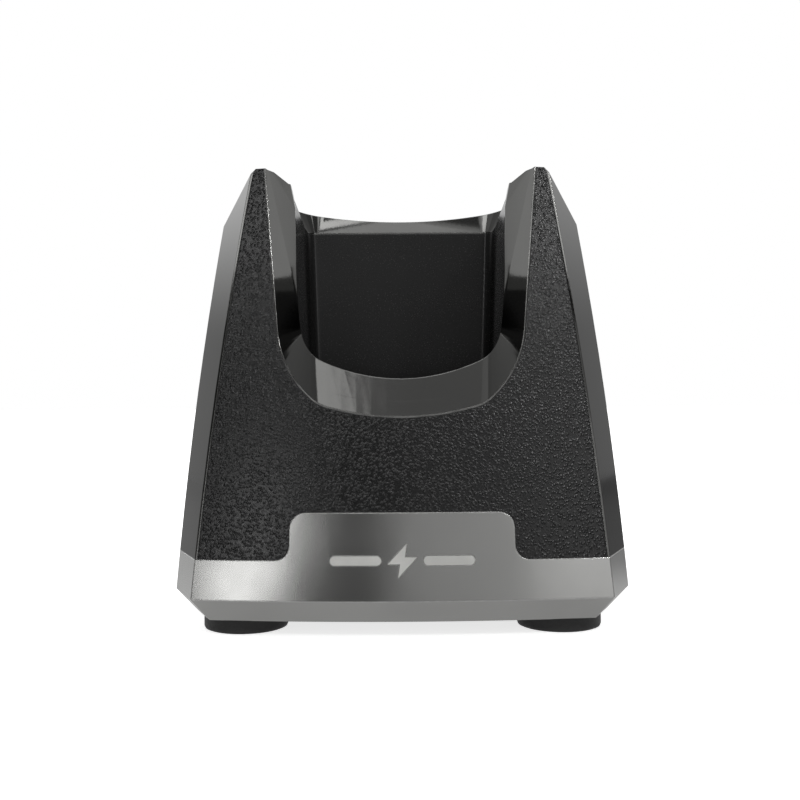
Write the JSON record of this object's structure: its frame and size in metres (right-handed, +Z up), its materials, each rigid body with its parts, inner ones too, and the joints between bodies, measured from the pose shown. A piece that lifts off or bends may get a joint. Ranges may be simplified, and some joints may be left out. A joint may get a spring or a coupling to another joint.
{
  "type": "hair clipper charging stand",
  "caption": "Weighted desk charging stand for a cordless hair clipper: tapered housing, open-front pocket between two horns, sprung charging contacts, metal band, rubber feet.",
  "frame": {"origin": "on the table, at the centre of the base's box", "axes": "+Z up, front of the stand towards -Y, +X to the right seen from the front"},
  "size_m": [0.103, 0.09, 0.1059],
  "materials": {
    "dark_chrome": "dark plated plastic, gloss",
    "textured_black": "fine leather-like moulded grain, half gloss",
    "gloss_black": "high gloss",
    "satin_chrome": "satin plated",
    "pale_mark": "smooth, pale grey",
    "black_base": "matt moulded",
    "black_rubber": "soft, matt",
    "ballast_steel": "zinc plated",
    "screw_steel": "zinc plated",
    "spring_steel": "drawn wire",
    "contact_gold": "gold plated, polished",
    "block_plastic": "matt",
    "board_green": "solder mask, half gloss",
    "fuse_ceramic": "glazed",
    "jack_plastic": "matt",
    "jack_metal": "nickel plated",
    "wire_red": "soft sheath",
    "wire_black": "soft sheath"
  },
  "bodies": {
    "stand": {"outer_shell": "dark_chrome", "front_panel": "textured_black", "mouth_trim": "dark_chrome", "rim_trim": "dark_chrome", "cradle": "gloss_black", "base_band": "satin_chrome", "front_mark": "pale_mark", "bottom_plate": "black_base", "ballast": "ballast_steel", "ballast_screws": "screw_steel", "base_screws": "screw_steel", "cradle_screws": "screw_steel", "foot_front_left": "black_rubber", "foot_front_right": "black_rubber", "foot_rear_left": "black_rubber", "foot_rear_right": "black_rubber", "contact_block": "block_plastic", "contact_spring_left": "spring_steel", "contact_spring_right": "spring_steel", "circuit_board": "board_green", "board_fuse": "fuse_ceramic", "board_screws": "screw_steel", "dc_jack": "jack_plastic", "jack_pin": "jack_metal", "jack_leaf": "jack_metal", "lead_red": "wire_red", "lead_black": "wire_black"},
    "pin_left": {"contact_pin_left": "contact_gold"},
    "pin_right": {"contact_pin_right": "contact_gold"}
  },
  "joints": [
    {"name": "pin_left_press", "type": "slide", "parent": "stand", "child": "pin_left", "axis": [0, 0, -1], "range_m": [0, 0.0015], "stiffness_N_per_m": 400, "deforming": ["contact_spring_left"]},
    {"name": "pin_right_press", "type": "slide", "parent": "stand", "child": "pin_right", "axis": [0, 0, -1], "range_m": [0, 0.0015], "stiffness_N_per_m": 400, "deforming": ["contact_spring_right"]}
  ]
}
